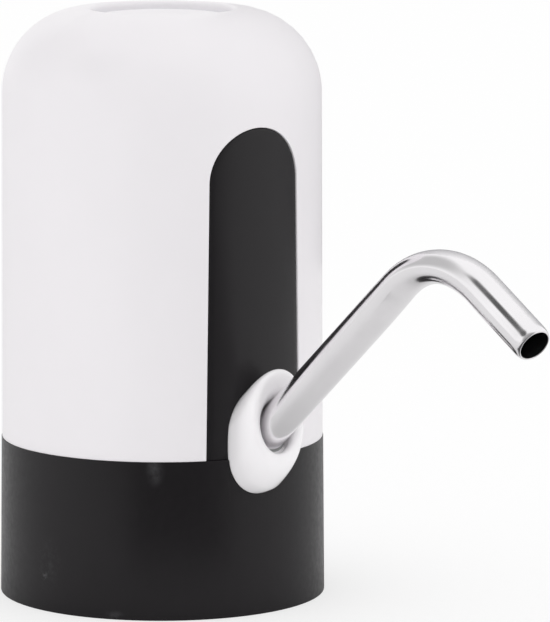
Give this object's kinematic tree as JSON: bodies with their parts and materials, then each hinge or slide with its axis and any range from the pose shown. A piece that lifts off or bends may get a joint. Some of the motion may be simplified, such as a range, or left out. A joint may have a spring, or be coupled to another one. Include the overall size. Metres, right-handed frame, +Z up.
{
  "type": "electric water jug pump",
  "caption": "Battery-driven pump that sits on a large water bottle's neck: domed housing on a dark base, press button in the top well, and a bent steel spout that swivels and pulls out.",
  "frame": {"origin": "centre of the underside, where the bottle socket opens", "axes": "+Z up along the body's axis, +X towards the spout"},
  "size_m": [0.1715, 0.075, 0.135],
  "materials": {
    "white_shell": "moulded ABS, semi-gloss white",
    "white_boss": "moulded ABS, glossy white",
    "button_white": "moulded ABS, satin white",
    "black_body": "moulded ABS, satin black",
    "light_ring": "moulded acrylic, frosted",
    "stainless": "polished stainless steel",
    "silicone": "moulded silicone",
    "black_rubber": "moulded rubber",
    "frame_plastic": "moulded natural ABS",
    "pump_plastic": "moulded acetal",
    "motor_steel": "zinc-plated drawn steel",
    "shaft_steel": "ground steel",
    "ferrite": "sintered ferrite",
    "copper": "enamelled copper wire",
    "bronze": "sintered bronze",
    "contact_metal": "tinned brass",
    "cell_wrap": null,
    "foam": "closed-cell foam",
    "board": "glass-epoxy board with green mask",
    "black_part": "moulded epoxy",
    "amber_part": "moulded nylon",
    "lamp": "clear epoxy lamp",
    "screw_steel": "zinc-plated steel",
    "lead_red": "PVC insulation",
    "lead_black": "PVC insulation",
    "lead_white": "PVC insulation"
  },
  "bodies": {
    "housing": {"base_ring": "black_body", "neck_gasket": "silicone", "deck_plate": "frame_plastic", "hose_nipple": "pump_plastic", "shell": "white_shell", "front_panel": "black_body", "spout_boss": "white_boss", "light_ring": "light_ring", "chassis": "frame_plastic", "top_plate": "frame_plastic", "inlet_hose": "silicone", "outlet_hose": "silicone", "pump_cover": "pump_plastic", "pump_gasket": "black_rubber", "pump_housing": "pump_plastic", "pump_top": "pump_plastic", "shaft_seal": "black_rubber", "idler_pin": "shaft_steel", "motor_can": "motor_steel", "motor_end_bell": "pump_plastic", "motor_magnets": "ferrite", "motor_brushes": "contact_metal", "motor_bushings": "bronze", "motor_terminals": "contact_metal", "battery_cell": "cell_wrap", "battery_tabs": "contact_metal", "battery_foam": "foam", "switch_board": "board", "switch_body": "black_part", "indicator_leds": "lamp", "charge_board": "board", "charge_parts": "black_part", "usb_shell": "shaft_steel", "usb_tongue": "black_part", "base_screws": "screw_steel", "pump_screws": "screw_steel", "motor_screws": "screw_steel", "top_screws": "screw_steel", "switch_board_screws": "screw_steel", "charge_board_screws": "screw_steel", "boss_screws": "screw_steel", "battery_lead_red": "lead_red", "battery_lead_black": "lead_black", "motor_lead_red": "lead_red", "motor_lead_black": "lead_black", "switch_lead": "lead_white"},
    "button": {"button_cap": "button_white"},
    "switch_plunger": {"switch_plunger": "amber_part"},
    "spout_seal": {"spout_seal": "silicone"},
    "spout": {"spout_tube": "stainless"},
    "rotor": {"motor_shaft": "shaft_steel", "drive_gear": "pump_plastic", "armature_core": "motor_steel", "armature_windings": "copper", "commutator": "copper"},
    "idler": {"idler_gear": "pump_plastic"}
  },
  "joints": [
    {"name": "button_press", "type": "slide", "parent": "housing", "child": "button", "axis": [0, 0, -1], "range_m": [0, 0.0008], "stiffness_N_per_m": 1500, "springref_m": -0.0005},
    {"name": "plunger_press", "type": "slide", "parent": "housing", "child": "switch_plunger", "axis": [0, 0, -1], "range_m": [0, 0.0008]},
    {"name": "spout_swivel", "type": "hinge", "parent": "housing", "child": "spout_seal", "pos_m": [0.037, 0, 0.0396], "axis": [0.7683, 0, 0.6401], "continuous": true},
    {"name": "spout_pull", "type": "slide", "parent": "spout_seal", "child": "spout", "axis": [0.7683, 0, 0.6401], "range_m": [0, 0.03]},
    {"name": "rotor_spin", "type": "hinge", "parent": "housing", "child": "rotor", "pos_m": [0.005, -0.006, 0.07], "axis": [0, 0, 1], "continuous": true},
    {"name": "idler_spin", "type": "hinge", "parent": "housing", "child": "idler", "pos_m": [0.005, 0.006, 0.057], "axis": [0, 0, 1], "continuous": true}
  ],
  "couplings": [
    {"joint": "plunger_press", "follows": "button_press", "ratio": 1},
    {"joint": "idler_spin", "follows": "rotor_spin", "ratio": -1}
  ]
}
